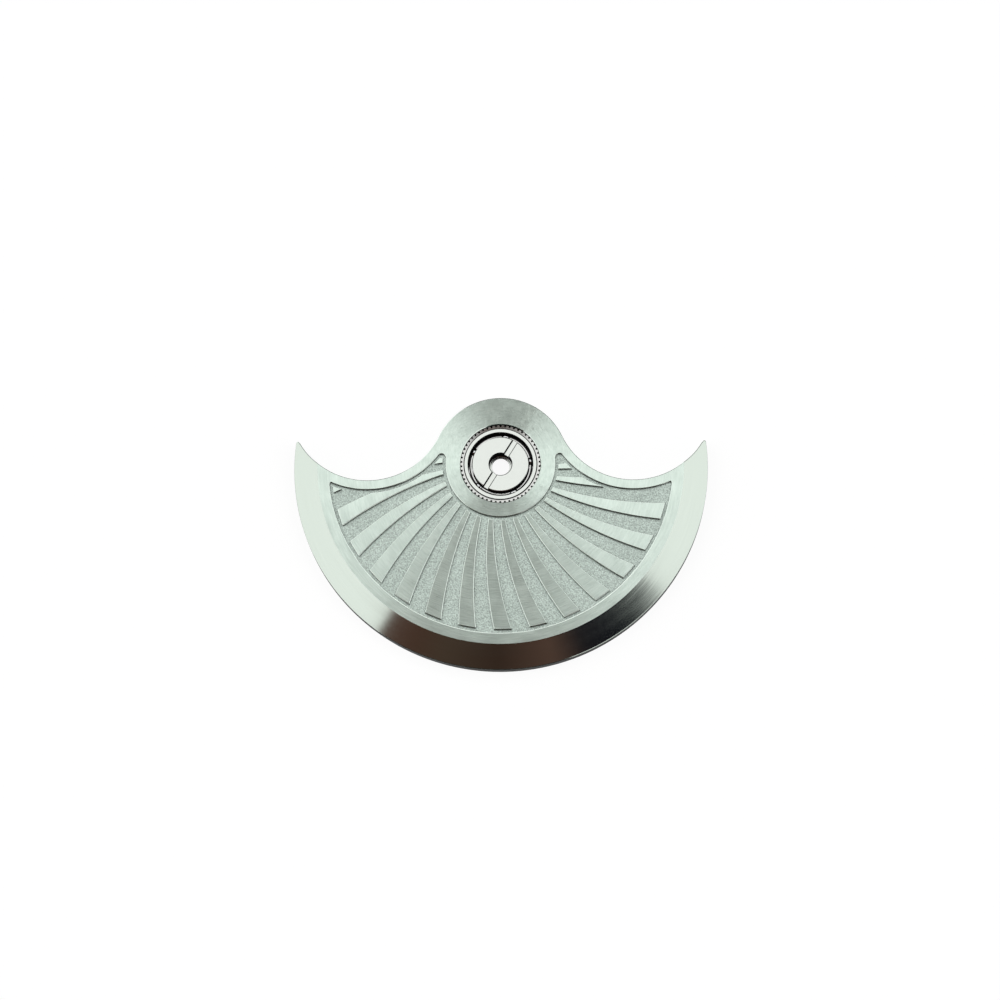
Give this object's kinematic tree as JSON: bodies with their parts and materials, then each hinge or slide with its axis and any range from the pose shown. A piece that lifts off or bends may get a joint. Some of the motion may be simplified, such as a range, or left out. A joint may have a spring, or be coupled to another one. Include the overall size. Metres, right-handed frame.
{
  "type": "watch rotor",
  "caption": "Half-moon oscillating weight on a ball bearing, with a toothed ring at its hub, which winds a self-winding watch as it swings.",
  "frame": {"origin": "on the bearing's axis, at the face by which the inner ring sits on the movement", "axes": "+Z along the axis, away from the movement; -Y towards the middle of the heavy rim; +X to the right"},
  "size_m": [0.027, 0.0179, 0.0016],
  "materials": {
    "plate": "nickel plated, circular brushed, with a bead-blasted sunken panel",
    "weight": "nickel plated, finely brushed, with a polished bevel",
    "teeth": "hardened steel, as hobbed",
    "bearing": "polished bearing steel",
    "cage": "bright bearing steel",
    "balls": "polished bearing steel"
  },
  "bodies": {
    "inner_ring": {"inner_ring_base": "bearing", "inner_ring_nut": "bearing"},
    "rotor": {"rotor_plate": "plate", "rim_weight": "weight", "drive_gear": "teeth", "outer_race": "bearing"},
    "cage": {"ball_cage": "cage"},
    "ball_1": {"ball_1": "balls"},
    "ball_2": {"ball_2": "balls"},
    "ball_3": {"ball_3": "balls"},
    "ball_4": {"ball_4": "balls"},
    "ball_5": {"ball_5": "balls"}
  },
  "joints": [
    {"name": "rotor_spin", "type": "hinge", "parent": "inner_ring", "child": "rotor", "pos_m": [0, 0, 0.0008], "axis": [0, 0, 1], "continuous": true},
    {"name": "cage_spin", "type": "hinge", "parent": "inner_ring", "child": "cage", "pos_m": [0, 0, 0.0008], "axis": [0, 0, 1], "continuous": true},
    {"name": "ball_1_spin", "type": "hinge", "parent": "cage", "child": "ball_1", "pos_m": [0.00194, 0.00028, 0.0008], "axis": [0, 0, 1], "continuous": true},
    {"name": "ball_2_spin", "type": "hinge", "parent": "cage", "child": "ball_2", "pos_m": [0.00033, 0.00194, 0.0008], "axis": [0, 0, 1], "continuous": true},
    {"name": "ball_3_spin", "type": "hinge", "parent": "cage", "child": "ball_3", "pos_m": [-0.00174, 0.00091, 0.0008], "axis": [0, 0, 1], "continuous": true},
    {"name": "ball_4_spin", "type": "hinge", "parent": "cage", "child": "ball_4", "pos_m": [-0.00141, -0.00137, 0.0008], "axis": [0, 0, 1], "continuous": true},
    {"name": "ball_5_spin", "type": "hinge", "parent": "cage", "child": "ball_5", "pos_m": [0.00087, -0.00176, 0.0008], "axis": [0, 0, 1], "continuous": true}
  ],
  "couplings": [
    {"joint": "cage_spin", "follows": "rotor_spin", "ratio": 0.5827},
    {"joint": "ball_1_spin", "follows": "rotor_spin", "ratio": 2.9404},
    {"joint": "ball_2_spin", "follows": "rotor_spin", "ratio": 2.9404},
    {"joint": "ball_3_spin", "follows": "rotor_spin", "ratio": 2.9404},
    {"joint": "ball_4_spin", "follows": "rotor_spin", "ratio": 2.9404},
    {"joint": "ball_5_spin", "follows": "rotor_spin", "ratio": 2.9404}
  ]
}
